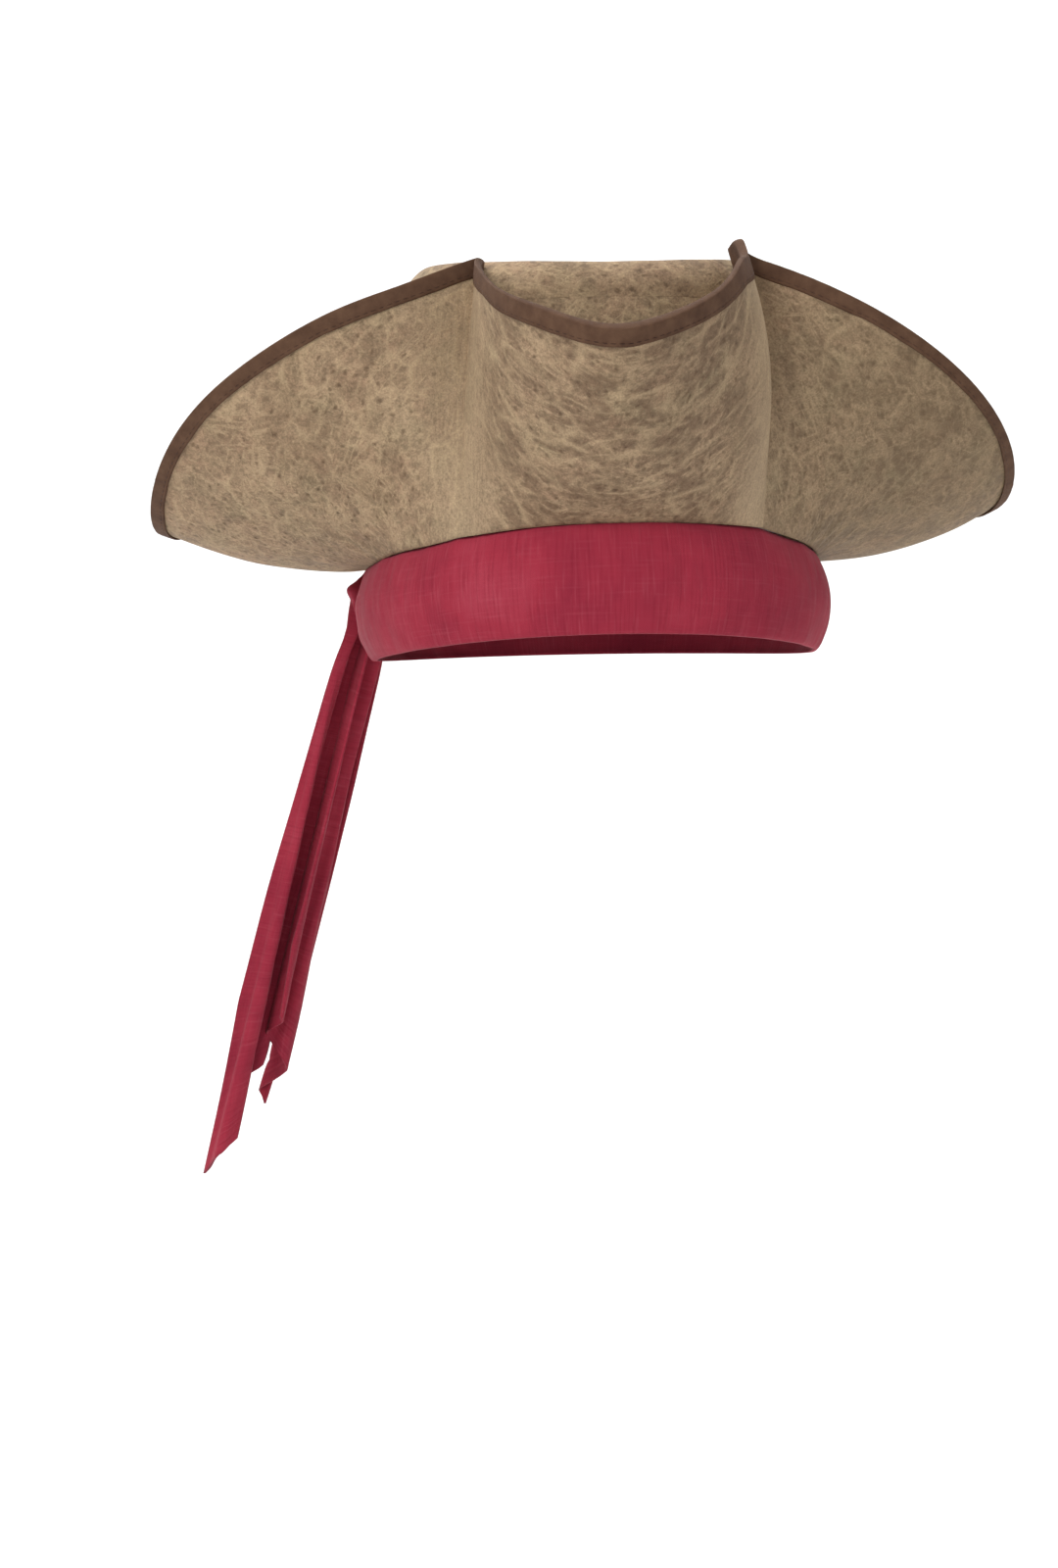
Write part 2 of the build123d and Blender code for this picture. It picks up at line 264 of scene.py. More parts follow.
def brim_wrinkles(azimuth, along):
    """How far the leather cloth of the brim stands out from its smooth form.

    Broad unevenness everywhere, shallow curves across the front panel, pulls along the seam, fine upright
    lines at the tacks, and pleats on the right that run out from the scarf.
    """
    depth = along / wrinkle_span
    turn = np.radians(azimuth)
    broad = 0.9 * MM * noise(turn * 3.1 + 5, depth * 2.2, 1.5) + 0.35 * MM * noise(turn * 8, depth * 5, 7.5)
    front = bump(azimuth, 4, 26) * bump(depth, 0.45, 0.38)
    sag = depth * 13 + 5.0 * turn ** 2 + 0.7 * noise(turn * 4, depth * 3, 4.2)
    smiles = 0.32 * MM * front * noise(turn * 3.5, sag, 2.2)
    seam_pull = np.exp(-along / 0.022) * 0.5 * MM * noise(turn * 26, depth * 1.4, 9.1)
    striations = 0.10 * MM * bump(np.abs(azimuth), tack_azimuth, 8) * noise(turn * 95, depth * 1.6, 3.3)
    pull_right = 1.3 * MM * bump(azimuth, -88, 13) * np.exp(-along / 0.055)
    pull_right = pull_right * (0.5 + 0.5 * noise(turn * 34 + depth * 2, depth * 0.8, 6.6))
    hem = 1 - 0.7 * bump(depth, 1.05, 0.1)
    return (broad + smiles + seam_pull + striations + pull_right) * hem * np.clip(depth * 8, 0, 1)


def crown_radius(azimuth, height, inset):
    share = height / shoulder_height
    half_width = seam_half_width - seam_clearance
    half_depth = seam_half_depth - seam_clearance
    half_width = half_width + (shoulder_half_width - half_width) * share
    half_depth = half_depth + (shoulder_half_depth - half_depth) * share
    square = 1 + crown_squareness * np.clip(share, 0, 1) * np.sin(np.radians(2 * azimuth)) ** 2
    return oval_radius(azimuth, half_width - inset, half_depth - inset) * square


# ---------------------------------------------------------------- mesh building

def add_object(name, data):
    obj = bpy.data.objects.new(name, data)
    bpy.context.collection.objects.link(obj)
    return obj


def mesh_object(name, vertices, faces, material):
    mesh = bpy.data.meshes.new(name)
    mesh.from_pydata(np.asarray(vertices).reshape(-1, 3).tolist(), [], faces)
    mesh.validate()
    mesh.polygons.foreach_set("use_smooth", [True] * len(mesh.polygons))
    mesh.materials.append(material)
    return add_object(name, mesh)


def grid_faces(rows, columns):
    """Quads of a grid of points stored row by row."""
    corners = [i * columns + j for i in range(rows - 1) for j in range(columns - 1)]
    return [[corner, corner + columns, corner + columns + 1, corner + 1] for corner in corners]


def between(outer, inner):
    """Loops of points that run out along one surface and back along another."""
    return np.concatenate([outer, inner[:, ::-1]], axis=1)


def loop_shell(name, sections, material, closed=True):
    """Closed solid through loops of points; it runs right round, or has two ends if not closed."""
    sections = np.asarray(sections)
    rows, columns = sections.shape[:2]
    ring = np.concatenate([sections, sections[:, :1]], axis=1)
    faces = []
    for i in range(rows if closed else rows - 1):
        after = (i + 1) % rows
        for j in range(columns):
            k = (j + 1) % columns
            faces.append([i * columns + j, after * columns + j, after * columns + k, i * columns + k])
    if not closed:
        faces.append(list(range(columns)))
        faces.append([(rows - 1) * columns + j for j in reversed(range(columns))])
    obj = mesh_object(name, sections, faces, material)
    add_flat_map(obj, ring, rows, columns)
    fix_normals(obj)
    return obj


def add_flat_map(obj, ring, rows, columns):
    """UV map in metres: u round the hat, v round the section, so that a weave has its real size."""
    across = np.linalg.norm(np.diff(ring, axis=1), axis=-1).mean(axis=0)
    v_at = np.concatenate([[0], np.cumsum(across)])
    along = np.linalg.norm(np.diff(np.concatenate([ring, ring[:1]]), axis=0), axis=-1).mean(axis=1)
    u_at = np.concatenate([[0], np.cumsum(along)])
    u_at = u_at - u_at[rows // 2]
    layer = obj.data.uv_layers.new(name="flat")
    loops = obj.data.loops
    values = np.zeros((len(loops), 2))
    for polygon in obj.data.polygons:
        ids = [loops[i].vertex_index for i in polygon.loop_indices]
        row_ids = [i // columns for i in ids]
        column_ids = [i % columns for i in ids]
        last_row = max(row_ids) - min(row_ids) > 1
        last_column = max(column_ids) - min(column_ids) > 1
        for loop_index, row, column in zip(polygon.loop_indices, row_ids, column_ids):
            if last_row and row == 0:
                row = rows
            if last_column and column == 0 and len(ids) == 4:
                column = columns
            values[loop_index] = (u_at[row], v_at[column])
    layer.data.foreach_set("uv", values.ravel())


def store_share(obj, name, by_row, columns):
    """One value for each row of a shell, for its material to read."""
    attribute = obj.data.attributes.new(name, "FLOAT", "POINT")
    attribute.data.foreach_set("value", np.repeat(by_row, columns).astype(np.float32))


def fix_normals(obj):
    edit = bmesh.new()
    edit.from_mesh(obj.data)
    bmesh.ops.recalc_face_normals(edit, faces=edit.faces)
    edit.to_mesh(obj.data)
    edit.free()


def piece(obj, body, slot, *nodes):
    """The piece rides a body and stands for CAD nodes, which it hides; slot is not used."""
    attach(obj, body)
    if nodes:
        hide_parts(*nodes)
    return obj


def even_round(count):
    """Azimuths once round the hat in even steps."""
    return np.linspace(-180, 180, count + 1)[:-1]


def round_trip(count):
    """Azimuths once round the hat, closer together near the three tacks."""
    stops = (-180.0, -tack_azimuth, tack_azimuth, 180.0)
    azimuths = []
    for start, end in zip(stops, stops[1:]):
        steps = round(count * (end - start) / 360)
        share = np.arange(steps) / steps
        eased = share - 0.8 * np.sin(2 * math.pi * share) / (2 * math.pi)
        azimuths.append(start + (end - start) * eased)
    return np.concatenate(azimuths)


# ---------------------------------------------------------------- materials

class Nodes:
    """Short calls for building a procedural material."""

    def __init__(self, name):
        self.material = bpy.data.materials.new(name)
        self.material.use_nodes = True
        self.tree = self.material.node_tree
        self.shader = self.tree.nodes["Principled BSDF"]

    def add(self, kind, vector=None, inputs=(), **settings):
        """A new node, with what its vector input reads, values for its other inputs, and its settings."""
        node = self.tree.nodes.new(kind)
        for name, value in settings.items():
            setattr(node, name, value)
        for name, value in dict(inputs).items():
            node.inputs[name].default_value = value
        if vector is not None:
            self.link(vector, node.inputs["Vector"])
        return node

    def link(self, source, target):
        self.tree.links.new(source, target)

    def feed(self, target, value):
        """Give an input a number, a colour or another node's output."""
        if isinstance(value, (int, float)):
            target.default_value = value
        elif isinstance(value, tuple):
            target.default_value = (*value, 1)
        else:
            self.link(value, target)

    def mapping(self, vector, scale=(1, 1, 1), rotation=(0, 0, 0)):
        inputs = {"Scale": scale, "Rotation": rotation}
        return self.add("ShaderNodeMapping", vector, inputs).outputs["Vector"]

    def coordinates(self, kind="Object", rotation=(0, 0, 0)):
        return self.mapping(self.add("ShaderNodeTexCoord").outputs[kind], rotation=rotation)

    def turned(self, vector, degrees, scale):
        """Flat coordinates, turned and then stretched."""
        return self.mapping(self.mapping(vector, rotation=(0, 0, math.radians(degrees))), scale)

    def across_and_up(self, vector):
        split = self.add("ShaderNodeSeparateXYZ")
        self.link(vector, split.inputs[0])
        return split.outputs[0], split.outputs[1]

    def noise(self, vector, scale, detail=4.0, roughness=0.55, distortion=0.0):
        inputs = {"Scale": scale, "Detail": detail, "Roughness": roughness, "Distortion": distortion}
        return self.add("ShaderNodeTexNoise", vector, inputs).outputs["Fac"]

    def cells(self, vector, scale, feature="DISTANCE_TO_EDGE", output="Distance"):
        """Irregular flat cells: distance to their edges or centres, in cells."""
        node = self.add("ShaderNodeTexVoronoi", vector, {"Scale": scale}, voronoi_dimensions="2D",
                        feature=feature)
        return node.outputs[output]

    def cell_shade(self, vector, scale):
        """A random value for each irregular flat cell."""
        shade = self.cells(vector, scale, "F1", "Color")
        split = self.add("ShaderNodeSeparateColor")
        self.link(shade, split.inputs[0])
        return split.outputs[0]

    def wandered(self, vector, scale, distance):
        """Coordinates moved about by smooth noise, by up to about half the distance."""
        wander = self.add("ShaderNodeTexNoise", vector, {"Scale": scale, "Detail": 3}).outputs["Color"]
        centred = self.add("ShaderNodeVectorMath", wander, {1: (0.5, 0.5, 0.5)}, operation="SUBTRACT")
        scaled = self.add("ShaderNodeVectorMath", centred.outputs[0], {"Scale": distance}, operation="SCALE")
        moved = self.add("ShaderNodeVectorMath", vector, operation="ADD")
        self.link(scaled.outputs[0], moved.inputs[1])
        return moved.outputs[0]

    def share(self, name):
        """A value stored on the mesh."""
        return self.add("ShaderNodeAttribute", attribute_name=name).outputs["Fac"]

    def ramp(self, value, stops):
        """Colour ramp; each stop is (position, colour) with the colour a number or three numbers."""
        node = self.add("ShaderNodeValToRGB")
        elements = node.color_ramp.elements
        while len(elements) < len(stops):
            elements.new(0.5)
        for element, (position, colour) in zip(elements, stops):
            element.position = position
            shade = (colour,) * 3 if isinstance(colour, (int, float)) else colour
            element.color = (*shade, 1)
        self.link(value, node.inputs["Fac"])
        return node.outputs["Color"]

    def math(self, operation, a, b=None, clamp=False):
        node = self.add("ShaderNodeMath", operation=operation, use_clamp=clamp)
        for target, value in zip(node.inputs, (a, b)):
            if value is not None:
                self.feed(target, value)
        return node.outputs[0]

    def times(self, a, b):
        return self.math("MULTIPLY", a, b)

    def plus(self, a, b):
        return self.math("ADD", a, b)

    def minus(self, a, b, clamp=False):
        return self.math("SUBTRACT", a, b, clamp)

    def larger(self, a, b):
        return self.math("MAXIMUM", a, b)

    def mix(self, factor, a, b, blend="MIX"):
        node = self.add("ShaderNodeMix", data_type="RGBA", blend_type=blend)
        for index, value in ((0, factor), (6, a), (7, b)):
            self.feed(node.inputs[index], value)
        return node.outputs[2]

    def bump(self, height, strength, distance, normal=None):
        node = self.add("ShaderNodeBump", inputs={"Strength": strength, "Distance": distance})
        self.link(height, node.inputs["Height"])
        if normal is not None:
            self.link(normal, node.inputs["Normal"])
        return node.outputs["Normal"]

    def finish(self, base, roughness, specular=None, normal=None):
        """The material, with its colour, roughness, specular level and bumps."""
        values = {"Base Color": base, "Roughness": roughness, "Specular IOR Level": specular,
                  "Normal": normal}
        for name, value in values.items():
            if value is not None:
                self.feed(self.shader.inputs[name], value)
        return self.material

    def veins(self, vector, scale, distortion, width, seed=0.0):
        """Thin wandering lines: 1 on a line, 0 away from it."""
        shift = {1: (seed, seed * 1.7, seed * 0.6)}
        moved = self.add("ShaderNodeVectorMath", vector, shift, operation="ADD")
        value = self.noise(moved.outputs[0], scale, 3.0, 0.6, distortion)
        away = self.math("ABSOLUTE", self.minus(value, 0.5))
        return self.minus(1.0, self.math("DIVIDE", away, width), clamp=True)


def colour(red, green, blue):
    """Linear colour from display values of 0 to 255."""
    def linear(value):
        value /= 255
        return value / 12.92 if value <= 0.04045 else ((value + 0.055) / 1.055) ** 2.4
    return (linear(red), linear(green), linear(blue))


tan_dark = colour(128, 106, 82)
tan_middle = colour(148, 124, 98)
tan_light = colour(162, 138, 110)
tan_olive = colour(126, 116, 88)
tan_rosy = colour(150, 112, 92)
tan_blotch = colour(108, 86, 66)
tan_fleck = colour(88, 68, 50)
# painted shade: the darker tone of the wing to the right of the front panel
tan_wing_shade = colour(104, 88, 64)
# pale tone along the tack creases: partly wear at the fold, partly painted highlight where the fold edge
# catches the light
tan_crease_highlight = colour(172, 150, 122)
tan_worn = colour(184, 160, 126)
crimson_dark = colour(138, 38, 56)
crimson = colour(154, 45, 62)
crimson_faded = colour(164, 60, 76)
crimson_deep = colour(112, 20, 38)
crimson_pale = colour(186, 92, 104)


def crackle(m, vector, scale, width):
    """Pale worn lines round irregular cells, broken up by noise: 1 on a line."""
    edge = m.cells(m.wandered(vector, scale * 0.9, 0.85 / scale), scale)
    uneven = m.times(m.noise(vector, scale * 2.0, 3), 3.6 * width)
    line = m.ramp(m.math("DIVIDE", edge, uneven), [(0.05, 1.0), (1.0, 0.0)])
    broken = m.ramp(m.noise(vector, scale * 0.9, 3), [(0.42, 0.0), (0.60, 1.0)])
    return m.times(line, broken)


def two_crackles(m, vector, coarse, fine):
    """Coarse crackle with finer, fainter crackle between; each is (cells per metre, width in cells)."""
    return m.larger(crackle(m, vector, *coarse), m.times(crackle(m, vector, *fine), 0.8))


def sagging(m, flat):
    """Flat coordinates bent so that a pattern runs in shallow curves across the front panel."""
    across, up = m.across_and_up(flat)
    bent = m.add("ShaderNodeCombineXYZ")
    m.link(m.times(across, 0.55), bent.inputs[0])
    m.link(m.plus(up, m.times(m.times(across, across), 5.0)), bent.inputs[1])
    return bent.outputs[0]


def leather_ground(m, space):
    """Broad tan tones with olive and rosy patches."""
    broad = m.noise(space, 30, 5, 0.62, 0.5)
    ground = m.ramp(broad, [(0.30, tan_dark), (0.48, tan_middle), (0.66, tan_light)])
    olive = m.noise(space, 40, 3, 0.6)
    ground = m.mix(m.ramp(olive, [(0.46, 0.0), (0.66, 0.42)]), ground, tan_olive)
    rosy = m.noise(space, 44, 2, 0.5, 1.0)
    return m.mix(m.ramp(rosy, [(0.52, 0.0), (0.75, 0.25)]), ground, tan_rosy)


def leather_blotches(m, flat, smile, front):
    """Darker mottling, larger and denser on the front panel: 1 in a blotch."""
    overall = m.noise(m.wandered(flat, 90, 0.008), 105, 5, 0.74, 0.8)
    overall = m.ramp(overall, [(0.40, 1.0), (0.56, 0.0)])
    on_front = m.noise(m.wandered(smile, 60, 0.012), 78, 5, 0.76, 0.6)
    on_front = m.ramp(on_front, [(0.46, 1.0), (0.61, 0.0)])
    return m.mix(front, overall, on_front)


def leather_flecks(m, flat):
    """Small dark flecks, in about a third of the cells of a fine pattern."""
    wandering = m.wandered(flat, 300, 0.003)
    fleck = m.ramp(m.cells(wandering, 270, "F1"), [(0.12, 1.0), (0.34, 0.0)])
    chosen = m.ramp(m.cell_shade(wandering, 270), [(0.62, 0.0), (0.74, 1.0)])
    return m.times(fleck, chosen)


def leather_lines(m, flat, smile, front, crease):
    """Pale worn lines: crackle, slanting wisps off the front panel, and upright streaks at the tacks."""
    wings = two_crackles(m, flat, (62, 0.060), (150, 0.09))
    smiles = two_crackles(m, smile, (66, 0.085), (150, 0.11))
    lines = m.mix(front, wings, smiles)
    rising = m.veins(m.turned(flat, 34, (22, 90, 1)), 1.0, 0.8, 0.034)
    falling = m.veins(m.turned(flat, -48, (24, 96, 1)), 1.0, 0.8, 0.034, 5.3)
    wisps = m.larger(rising, falling)
    wisps = m.times(wisps, m.ramp(m.noise(flat, 45, 2), [(0.47, 0.0), (0.58, 0.9)]))
    lines = m.larger(lines, m.times(wisps, m.minus(1.0, front)))
    upright = m.turned(m.wandered(flat, 60, 0.003), 0, (520, 26, 1))
    streaks = m.ramp(m.noise(upright, 1.0, 4, 0.65), [(0.46, 0.0), (0.64, 1.0)])
    return m.larger(lines, m.times(streaks, m.times(crease, 0.7)))


def leather_cloth():
    """Tan distressed leather cloth: worn pale crackle lines, darker mottling between them, dark flecks;
    painted shade and highlight.
    """
    m = Nodes("leather_cloth")
    flat = m.coordinates("UV")
    space = m.coordinates()
    smile = sagging(m, flat)
    front = m.share("front_panel")
    crease = m.share("tack_crease_and_highlight")
    wing_painted_shade = m.share("wing_painted_shade")

    blotches = leather_blotches(m, flat, smile, front)
    lines = leather_lines(m, flat, smile, front, crease)
    # blotches are deeper on the front panel, and on the right wing as part of its painted shade
    depth = m.plus(0.54, m.times(m.larger(front, wing_painted_shade), 0.30))
    base = m.mix(m.times(blotches, depth), leather_ground(m, space), tan_blotch)
    base = m.mix(m.times(leather_flecks(m, flat), 0.62), base, tan_fleck)
    mottle = m.ramp(m.noise(space, 420, 4, 0.7, 0.6), [(0.36, 0.30), (0.5, 0.5), (0.64, 0.68)])
    base = m.mix(0.55, base, mottle, "OVERLAY")
    # painted shade on the wing to the right of the front panel
    base = m.mix(m.times(wing_painted_shade, 0.50), base, tan_wing_shade)
    # pale tint along the tack creases: partly wear at the fold, partly painted highlight
    base = m.mix(m.times(crease, 0.40), base, tan_crease_highlight)
    # fewer pale worn lines show in the wing's painted shade
    worn = m.minus(0.50, m.times(wing_painted_shade, 0.28))
    base = m.mix(m.times(lines, worn), base, tan_worn)
    grain = m.noise(space, 1300, 3, 0.6)
    base = m.mix(0.38, base, m.ramp(grain, [(0.3, 0.22), (0.7, 0.78)]), "OVERLAY")

    rough = m.plus(m.times(blotches, -0.10), 0.78)
    height = m.plus(m.times(grain, 0.35), m.times(lines, 0.8))
    height = m.minus(height, m.times(blotches, 0.5))
    coarse = m.bump(m.noise(space, 200, 4, 0.6, 0.5), 0.25, 0.0009)
    return m.finish(base, rough, 0.22, m.bump(height, 0.4, 0.0004, coarse))


def weave(m, vector, threads, unevenness=0.3):
    """Height of a plain weave: threads per metre each way, from coordinates in metres."""
    across, up = m.across_and_up(vector)
    wobble = m.times(m.noise(vector, 260, 3), unevenness)
    waves = [m.math("SINE", m.plus(m.times(way, threads * math.tau), wobble)) for way in (across, up)]
    return m.times(*waves)


def scarf_cotton():
    """Crimson cotton: plain weave, uneven upright threads, slightly faded patches."""
    m = Nodes("scarf_cotton")
    flat = m.coordinates("UV")
    space = m.coordinates()
    faded = m.noise(space, 16, 4, 0.6, 0.3)
    base = m.ramp(faded, [(0.32, crimson_dark), (0.50, crimson), (0.70, crimson_faded)])
    upright = m.noise(m.turned(flat, 0, (1100, 40, 1)), 1.0, 3, 0.6)
    base = m.mix(m.ramp(upright, [(0.34, 0.30), (0.52, 0.0)]), base, crimson_deep)
    pale = m.noise(m.turned(flat, 0, (900, 60, 1)), 1.0, 2, 0.5)
    base = m.mix(m.ramp(pale, [(0.55, 0.0), (0.8, 0.22)]), base, crimson_pale)
    level = m.noise(m.turned(flat, 0, (45, 900, 1)), 1.0, 2, 0.5)
    base = m.mix(m.ramp(level, [(0.55, 0.0), (0.8, 0.14)]), base, crimson_pale)
    threads = weave(m, flat, 1350)
    base = m.mix(0.16, base, m.ramp(threads, [(0.0, 0.35), (1.0, 0.65)]), "OVERLAY")
    m.shader.inputs["Sheen Weight"].default_value = 0.08
    m.shader.inputs["Sheen Roughness"].default_value = 0.4
    soft = m.bump(m.noise(space, 160, 4, 0.6), 0.25, 0.0010)
    return m.finish(base, 0.9, 0.12, m.bump(threads, 0.3, 0.00015, soft))


def woven_tape(name, shade, pale, threads=1700, rough=0.75):
    """Dense woven tape: fine ribs across it, with worn, paler high spots."""
    m = Nodes(name)
    space = m.coordinates()
    patches = m.noise(space, 150, 4, 0.6)
    base = m.ramp(patches, [(0.30, shade), (0.95, pale)])
    ribs = weave(m, m.coordinates("UV", (0, 0, math.radians(45))), threads)
    base = m.mix(0.25, base, m.ramp(ribs, [(0.0, 0.3), (1.0, 0.7)]), "OVERLAY")
    soft = m.bump(patches, 0.25, 0.0006)
    return m.finish(base, rough, 0.12, m.bump(ribs, 0.35, 0.00015, soft))


def felt():
    """Grey needled felt with loose fibres."""
    m = Nodes("felt")
    space = m.coordinates()
    fibres = m.noise(space, 900, 5, 0.7, 2.0)
    base = m.ramp(fibres, [(0.3, colour(120, 116, 110)), (0.7, colour(176, 172, 164))])
    return m.finish(base, 0.95, normal=m.bump(fibres, 0.5, 0.0005))


leather_material = leather_cloth()
scarf_material = scarf_cotton()
binding_material = woven_tape("binding_tape", colour(82, 58, 44), colour(111, 83, 64))
lining_material = woven_tape("lining_cloth", colour(48, 40, 36), colour(66, 56, 50), 1200, 0.6)
ribbon_material = woven_tape("sweat_ribbon", colour(36, 30, 28), colour(52, 44, 40), 700, 0.55)
tape_material = woven_tape("seam_tape", colour(52, 44, 40), colour(72, 62, 56), 900)
thread_material = woven_tape("waxed_thread", colour(58, 38, 30), colour(92, 66, 52), 2500, 0.5)
label_material = woven_tape("label_satin", colour(214, 211, 203), colour(232, 229, 222), 2200, 0.35)
felt_material = felt()


# ---------------------------------------------------------------- brim

def brim_layer(name, offsets, node, slot, material, wrinkles=(0.0, 0.0)):
    """Shell of one brim layer between two offsets, with a share of the wrinkles on each face."""
    azimuth = round_trip(720)[:, None]
    length = brim_line(azimuth)[3]
    share = np.linspace(0, 1, 64)[None, :]
    along = share * length
    relief = brim_wrinkles(azimuth, along)
    inner = brim_point(azimuth, along, offsets[0] + wrinkles[0] * relief)
    outer = brim_point(azimuth, along, offsets[1] + wrinkles[1] * relief)
    sections = between(inner, outer)
    obj = loop_shell(name, sections, material)
    way = azimuth[:, 0]
    turn = np.abs(way)
    columns = sections.shape[1]
    # mask of the pale tone along the tack creases, partly wear and partly painted highlight
    crease = bump(turn, tack_azimuth - 1, 9) * np.where(way > tack_azimuth, 0.3, 1.0)
    # painted highlight on the front panel's right fold edge
    crease += 0.8 * bump(way, 31, 5)
    store_share(obj, "front_panel", 1 / (1 + np.exp((turn - 31) / 2.5)), columns)
    store_share(obj, "tack_crease_and_highlight", crease, columns)
    # mask of the painted shade on the wing to the right of the front panel
    store_share(obj, "wing_painted_shade", bump(way, 80, 38) * (way > tack_azimuth), columns)
    return piece(obj, "hat", slot, node)


def tape_width(azimuth):
    """Width of the binding that shows: narrower at the front and side spouts and along the two wings."""
    turn = np.abs(azimuth)
    narrower = 1.2 * bump(turn, 0, 24) + 1.6 * bump(turn, side_spout_azimuth, 30)
    narrower += 3.2 * bump(azimuth, 74, 32) + 2.2 * bump(azimuth, -74, 32)
    return binding_width - narrower * MM


def hem_wander(azimuth):
    """How far the tape's hem wanders from an even line."""
    return 0.35 * MM * noise(np.radians(azimuth) * 22, 0.5, 8.1)


def brim_binding():
    """Tape folded over the brim's edge, a little puckered between its stitches."""
    azimuth = round_trip(1080)[:, None]
    length = brim_line(azimuth)[3]
    near = -binding_clearance
    far = brim_thickness + binding_clearance
    middle = (near + far) / 2
    half = (far - near) / 2 + binding_cloth
    hem = length - tape_width(azimuth) + hem_wander(azimuth)
    fold = length + binding_clearance
    top_share = np.linspace(0, 1, 8)[None, :]
    nose_angle = np.linspace(0, math.pi, 13)[None, 1:-1]
    pucker = 0.18 * MM * noise(np.radians(azimuth) * 60, 0.5, 3.7)
    stitch_dip = 0.22 * MM * bump(top_share, 0.16, 0.12)
    follow = brim_wrinkles(azimuth, hem)
    top_along = hem + (fold - hem) * top_share
    top = brim_point(azimuth, top_along, near - binding_cloth - pucker * top_share + stitch_dip)
    nose_along = fold + binding_cloth * np.sin(nose_angle)
    nose = brim_point(azimuth, nose_along, middle - (half + pucker) * np.cos(nose_angle))
    under_off = far + binding_cloth + pucker * top_share - stitch_dip + follow * (1 - top_share)
    under = brim_point(azimuth, top_along, under_off)[:, ::-1]
    inside_far = brim_point(azimuth, top_along, far - 0.2 * MM)
    inside_near = brim_point(azimuth, top_along, near + 0.2 * MM)[:, ::-1]
    sections = np.concatenate([top, nose, under, inside_far, inside_near], axis=1)
    obj = loop_shell("brim_binding_tape", sections, binding_material)
    return piece(obj, "hat", "binding", "brim_binding")


def stitch_row(name, centres, directions, outward):
    """One mesh of small thread stitches, each a short bar that dips into the cloth at both ends."""
    profile = np.linspace(-1, 1, 7)
    ring = np.linspace(0, math.tau, 7)[:-1]
    vertices = []
    faces = []
    for centre, along, up in zip(centres, directions, outward):
        side = np.cross(along, up)
        start = len(vertices)
        for place in profile:
            lift = stitch_radius * (0.75 - 1.9 * place ** 6)
            spot = centre + along * place * stitch_length / 2 + up * lift
            thick = stitch_radius * (1 - 0.35 * place ** 2)
            for angle in ring:
                vertices.append(spot + thick * (math.cos(angle) * up + math.sin(angle) * side))
        for i in range(len(profile) - 1):
            for j in range(len(ring)):
                k = (j + 1) % len(ring)
                a = start + i * len(ring)
                b = a + len(ring)
                faces.append([a + j, a + k, b + k, b + j])
        faces.append([start + j for j in range(len(ring))])
        last = start + (len(profile) - 1) * len(ring)
        faces.append([last + j for j in reversed(range(len(ring)))])
    obj = mesh_object(name, vertices, faces, thread_material)
    fix_normals(obj)
    return piece(obj, "hat", "thread")


def closed_path(points):
    """A closed line of points with its first point repeated, and the distance travelled at each point."""
    closed = np.concatenate([points, points[:1]])
    steps = np.linalg.norm(np.diff(closed, axis=0), axis=1)
    return closed, np.concatenate([[0], np.cumsum(steps)])


def resampled(targets, travelled, values):
    return np.stack([np.interp(targets, travelled, values[:, k]) for k in range(3)], axis=1)


def unit(vectors):
    return vectors / np.linalg.norm(vectors, axis=1)[:, None]


def binding_stitches(name, face):
    """Machine stitches along the tape's hem, on the outer (+1) or inner (-1) face of the brim."""
    azimuth = round_trip(1080)
    hem = brim_line(azimuth)[3] - tape_width(azimuth)
    if face > 0:
        offset = brim_thickness + binding_clearance + binding_cloth - layer_gap
        offset = offset + 0.85 * brim_wrinkles(azimuth, hem)
    else:
        offset = layer_gap - binding_clearance - binding_cloth
    along = hem + stitch_inset + hem_wander(azimuth)
    line = brim_point(azimuth, along, offset)
    up = unit(brim_point(azimuth, along, offset + face * MM) - line)
    closed, travelled = closed_path(line)
    targets = np.arange(int(travelled[-1] / stitch_spacing))
    targets = targets * travelled[-1] / len(targets)
    spots = resampled(targets, travelled, closed)
    ahead = resampled(targets + 0.5 * MM, travelled, closed)
    outward = unit(resampled(targets, travelled, np.concatenate([up, up[:1]])))
    return stitch_row(name, spots, unit(ahead - spots), outward)


# ---------------------------------------------------------------- crown

def crown_dents(azimuth, height):
    """How far the crown's wall stands out: broad dents, and small pulls below the tip's seam."""
    turn = np.radians(azimuth)
    level = height / shoulder_height
    broad = 1.1 * MM * noise(turn * 2.3 + 3, level * 2.4, 11.3) * np.sin(np.clip(level, 0, 1) * math.pi)
    pull = 0.45 * MM * noise(turn * 14, level * 2, 5.9) * bump(level, 0.86, 0.09)
    return broad + pull


def crown_wall():
    """Leather wall of the crown, from below the drooping seam: soft dents, and a seam down the back."""
    azimuth = even_round(360)[:, None]
    bottom = seam_height(azimuth) - seam_sag(azimuth) - 2.4 * MM
    share = np.append(np.linspace(0, 0.994, 48), 1.0)[None, :]
    height = bottom + (shoulder_height + wall_overlap - bottom) * share
    back_seam = 0.6 * MM * bump(np.abs(azimuth), 180, 1.2)
    roll = 0.2 * MM * np.exp(-(1 - share) / 0.012)
    inset = -crown_dents(azimuth, height) * 0.6 + back_seam + roll
    outer = at(azimuth, crown_radius(azimuth, height, inset), height)
    inner = at(azimuth, crown_radius(azimuth, height, leather_thickness + back_seam + roll), height)
    obj = loop_shell("crown_wall_leather", between(outer, inner), leather_material)
    return piece(obj, "hat", "leather_cloth", "crown_wall")


